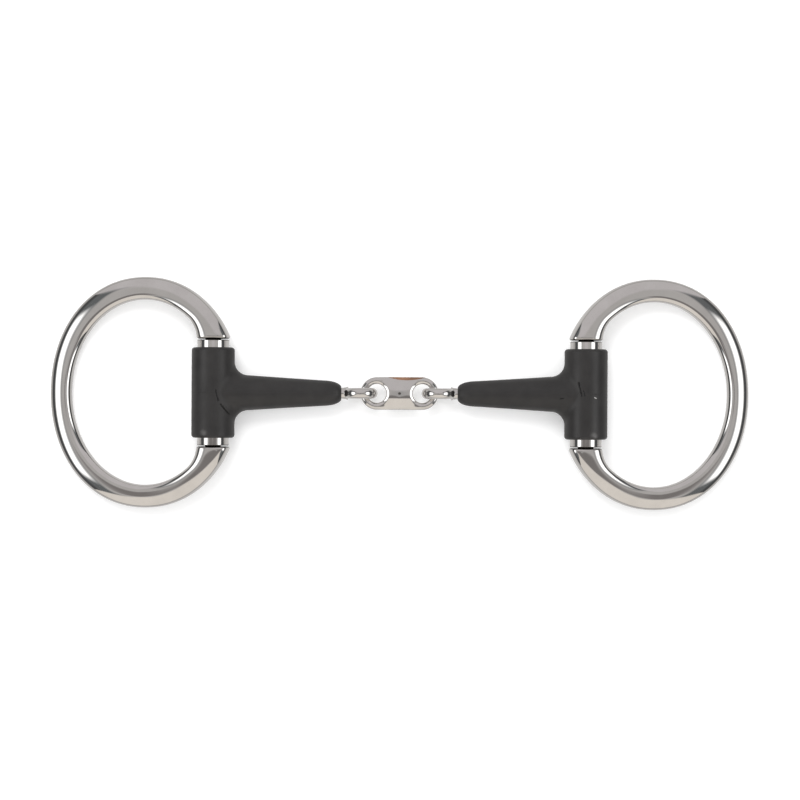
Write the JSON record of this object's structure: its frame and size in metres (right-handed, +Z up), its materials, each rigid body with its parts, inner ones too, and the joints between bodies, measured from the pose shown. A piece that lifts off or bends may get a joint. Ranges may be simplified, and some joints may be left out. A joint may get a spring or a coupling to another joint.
{
  "type": "snaffle bit",
  "caption": "Egg-butt snaffle bit: two hinged steel cheek rings on rubber-covered tapered arms joined by a flat lozenge link with a copper inlay.",
  "frame": {"origin": "on the surface that the bit lies on, under the middle of the centre link", "axes": "+X along the mouthpiece towards the right cheek, +Y along the cheek hinge pins, +Z up, square to the surface that the bit lies on"},
  "size_m": [0.27, 0.089, 0.0166],
  "materials": {
    "link_steel": "polished stainless steel",
    "copper": "polished copper, slightly tarnished",
    "core_steel": "polished stainless steel",
    "black_rubber": "smooth moulded rubber, satin",
    "ring_steel": "mirror-polished stainless steel",
    "pin_steel": "ground steel rod"
  },
  "bodies": {
    "centre_link": {"centre_link": "link_steel", "copper_inlay": "copper"},
    "left_arm": {"left_mouthpiece_core": "core_steel", "left_rubber_sleeve": "black_rubber"},
    "right_arm": {"right_mouthpiece_core": "core_steel", "right_rubber_sleeve": "black_rubber"},
    "left_cheek": {"left_cheek_ring": "ring_steel", "left_hinge_pin": "pin_steel"},
    "right_cheek": {"right_cheek_ring": "ring_steel", "right_hinge_pin": "pin_steel"}
  },
  "joints": [
    {"name": "left_link_joint", "type": "hinge", "parent": "centre_link", "child": "left_arm", "pos_m": [-0.0137, 0, 0.00656], "axis": [0, 1, 0], "range_deg": [-45, 45]},
    {"name": "right_link_joint", "type": "hinge", "parent": "centre_link", "child": "right_arm", "pos_m": [0.0137, 0, 0.00656], "axis": [0, -1, 0], "range_deg": [-45, 45]},
    {"name": "left_cheek_hinge", "type": "hinge", "parent": "left_arm", "child": "left_cheek", "pos_m": [-0.0718, 0, 0.0083], "axis": [0, 1, 0], "range_deg": [-88, 102]},
    {"name": "right_cheek_hinge", "type": "hinge", "parent": "right_arm", "child": "right_cheek", "pos_m": [0.0718, 0, 0.0083], "axis": [0, -1, 0], "range_deg": [-88, 102]}
  ]
}
